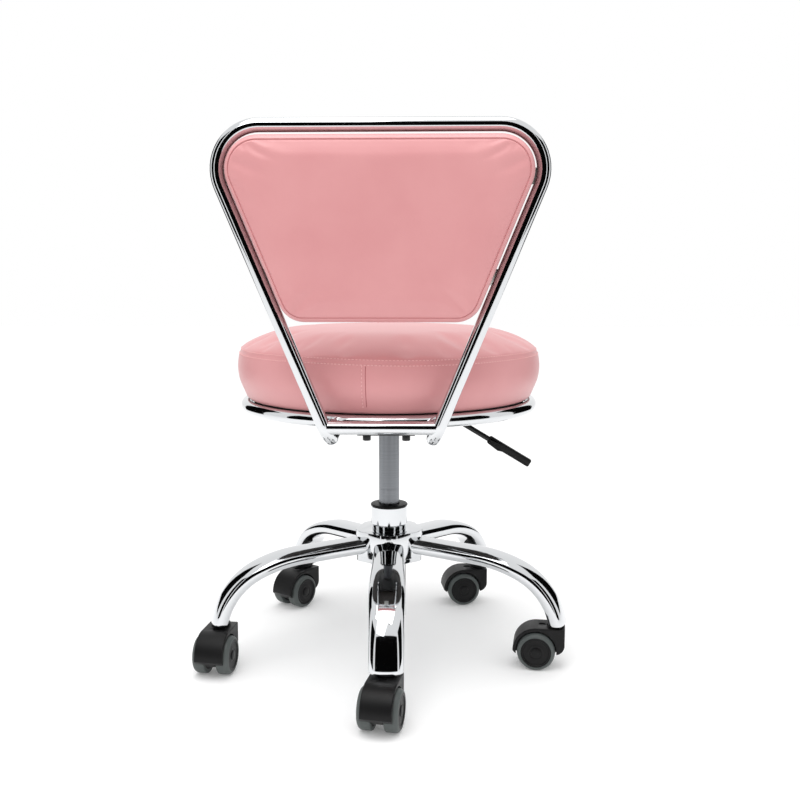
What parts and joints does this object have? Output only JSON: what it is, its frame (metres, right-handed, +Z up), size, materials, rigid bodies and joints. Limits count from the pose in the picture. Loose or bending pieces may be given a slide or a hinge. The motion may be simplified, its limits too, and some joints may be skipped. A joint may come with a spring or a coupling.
{
  "type": "pedicure stool",
  "caption": "Pink vinyl pedicure stool with a low framed backrest, gas lift, chrome star base and hooded twin-wheel casters",
  "frame": {"origin": "on the floor, on the axis of the column", "axes": "+Z up along the column, front of the stool towards -Y, backrest at +Y, lever on the -X side"},
  "size_m": [0.4905, 0.509, 0.689],
  "materials": {
    "polished_chrome": "polished",
    "pink_vinyl": "smooth, satin",
    "black_moulding": "moulded, satin",
    "grey_tyre": "smooth",
    "grey_steel": "drawn and brushed",
    "ground_steel": "ground",
    "zinc_steel": "zinc plated",
    "black_steel": "powder coated",
    "plywood": "stained black brown"
  },
  "bodies": {
    "base": {"base_hub": "polished_chrome", "base_arm_1": "polished_chrome", "base_arm_2": "polished_chrome", "base_arm_3": "polished_chrome", "base_arm_4": "polished_chrome", "base_arm_5": "polished_chrome", "caster_sockets": "black_moulding", "column_tube": "polished_chrome", "column_bush": "black_moulding"},
    "piston": {"piston_rod": "ground_steel", "bearing_stack": "ground_steel"},
    "seat": {"gas_cylinder": "grey_steel", "seat_plate": "black_steel", "mechanism_housing": "black_steel", "seat_bolts": "black_steel", "tee_nuts": "zinc_steel", "seat_board": "plywood", "seat_cushion": "pink_vinyl", "seat_ring": "polished_chrome", "steel_tabs": "zinc_steel", "wood_screws": "zinc_steel", "back_frame": "polished_chrome", "cross_bar": "polished_chrome", "back_board": "plywood", "back_pad": "pink_vinyl", "back_panel": "pink_vinyl", "lever_pin": "zinc_steel"},
    "lever": {"lever_rod": "black_steel", "lever_handle": "black_moulding"},
    "release": {"release_pin": "black_moulding"},
    "caster_1": {"caster_hood_1": "black_moulding", "caster_spindle_1": "zinc_steel"},
    "wheel_left_1": {"caster_rim_left_1": "black_moulding", "caster_tyre_left_1": "grey_tyre"},
    "wheel_right_1": {"caster_rim_right_1": "black_moulding", "caster_tyre_right_1": "grey_tyre"},
    "caster_2": {"caster_hood_2": "black_moulding", "caster_spindle_2": "zinc_steel"},
    "wheel_left_2": {"caster_rim_left_2": "black_moulding", "caster_tyre_left_2": "grey_tyre"},
    "wheel_right_2": {"caster_rim_right_2": "black_moulding", "caster_tyre_right_2": "grey_tyre"},
    "caster_3": {"caster_hood_3": "black_moulding", "caster_spindle_3": "zinc_steel"},
    "wheel_left_3": {"caster_rim_left_3": "black_moulding", "caster_tyre_left_3": "grey_tyre"},
    "wheel_right_3": {"caster_rim_right_3": "black_moulding", "caster_tyre_right_3": "grey_tyre"},
    "caster_4": {"caster_hood_4": "black_moulding", "caster_spindle_4": "zinc_steel"},
    "wheel_left_4": {"caster_rim_left_4": "black_moulding", "caster_tyre_left_4": "grey_tyre"},
    "wheel_right_4": {"caster_rim_right_4": "black_moulding", "caster_tyre_right_4": "grey_tyre"},
    "caster_5": {"caster_hood_5": "black_moulding", "caster_spindle_5": "zinc_steel"},
    "wheel_left_5": {"caster_rim_left_5": "black_moulding", "caster_tyre_left_5": "grey_tyre"},
    "wheel_right_5": {"caster_rim_right_5": "black_moulding", "caster_tyre_right_5": "grey_tyre"}
  },
  "joints": [
    {"name": "seat_swivel", "type": "hinge", "parent": "base", "child": "piston", "pos_m": [0, 0, 0.05], "axis": [0, 0, 1], "continuous": true},
    {"name": "seat_lift", "type": "slide", "parent": "piston", "child": "seat", "axis": [0, 0, 1], "range_m": [-0.08, 0.03]},
    {"name": "lever_lift", "type": "hinge", "parent": "seat", "child": "lever", "pos_m": [-0.03, 0, 0.322], "axis": [0, 1, 0], "range_deg": [0, 5], "stiffness_Nm_per_rad": 3, "springref_deg": -11.46},
    {"name": "release_press", "type": "slide", "parent": "seat", "child": "release", "axis": [0, 0, -1], "range_m": [0, 0.0028]},
    {"name": "caster_swivel_1", "type": "hinge", "parent": "base", "child": "caster_1", "pos_m": [-0.00613, 0.23392, 0.057], "axis": [0, 0, 1], "continuous": true},
    {"name": "wheel_spin_left_1", "type": "hinge", "parent": "caster_1", "child": "wheel_left_1", "pos_m": [-0.00157, 0.2585, 0.025], "axis": [-0.9833, 0.1822, 0], "continuous": true},
    {"name": "wheel_spin_right_1", "type": "hinge", "parent": "caster_1", "child": "wheel_right_1", "pos_m": [-0.00157, 0.2585, 0.025], "axis": [-0.9833, 0.1822, 0], "continuous": true},
    {"name": "caster_swivel_2", "type": "hinge", "parent": "base", "child": "caster_2", "pos_m": [-0.22436, 0.06646, 0.057], "axis": [0, 0, 1], "continuous": true},
    {"name": "wheel_spin_left_2", "type": "hinge", "parent": "caster_2", "child": "wheel_left_2", "pos_m": [-0.19958, 0.06315, 0.025], "axis": [0.1323, 0.9912, 0], "continuous": true},
    {"name": "wheel_spin_right_2", "type": "hinge", "parent": "caster_2", "child": "wheel_right_2", "pos_m": [-0.19958, 0.06315, 0.025], "axis": [0.1323, 0.9912, 0], "continuous": true},
    {"name": "caster_swivel_3", "type": "hinge", "parent": "base", "child": "caster_3", "pos_m": [-0.13254, -0.19285, 0.057], "axis": [0, 0, 1], "continuous": true},
    {"name": "wheel_spin_left_3", "type": "hinge", "parent": "caster_3", "child": "wheel_left_3", "pos_m": [-0.10776, -0.18954, 0.025], "axis": [-0.1323, 0.9912, 0], "continuous": true},
    {"name": "wheel_spin_right_3", "type": "hinge", "parent": "caster_3", "child": "wheel_right_3", "pos_m": [-0.10776, -0.18954, 0.025], "axis": [-0.1323, 0.9912, 0], "continuous": true},
    {"name": "caster_swivel_4", "type": "hinge", "parent": "base", "child": "caster_4", "pos_m": [0.14245, -0.18565, 0.057], "axis": [0, 0, 1], "continuous": true},
    {"name": "wheel_spin_left_4", "type": "hinge", "parent": "caster_4", "child": "wheel_left_4", "pos_m": [0.1565, -0.16497, 0.025], "axis": [-0.8271, 0.5621, 0], "continuous": true},
    {"name": "wheel_spin_right_4", "type": "hinge", "parent": "caster_4", "child": "wheel_right_4", "pos_m": [0.1565, -0.16497, 0.025], "axis": [-0.8271, 0.5621, 0], "continuous": true},
    {"name": "caster_swivel_5", "type": "hinge", "parent": "base", "child": "caster_5", "pos_m": [0.22058, 0.07811, 0.057], "axis": [0, 0, 1], "continuous": true},
    {"name": "wheel_spin_left_5", "type": "hinge", "parent": "caster_5", "child": "wheel_left_5", "pos_m": [0.22371, 0.10291, 0.025], "axis": [-0.9921, 0.1253, 0], "continuous": true},
    {"name": "wheel_spin_right_5", "type": "hinge", "parent": "caster_5", "child": "wheel_right_5", "pos_m": [0.22371, 0.10291, 0.025], "axis": [-0.9921, 0.1253, 0], "continuous": true}
  ],
  "couplings": [
    {"joint": "release_press", "follows": "lever_lift", "m_per_rad": 0.0309}
  ]
}
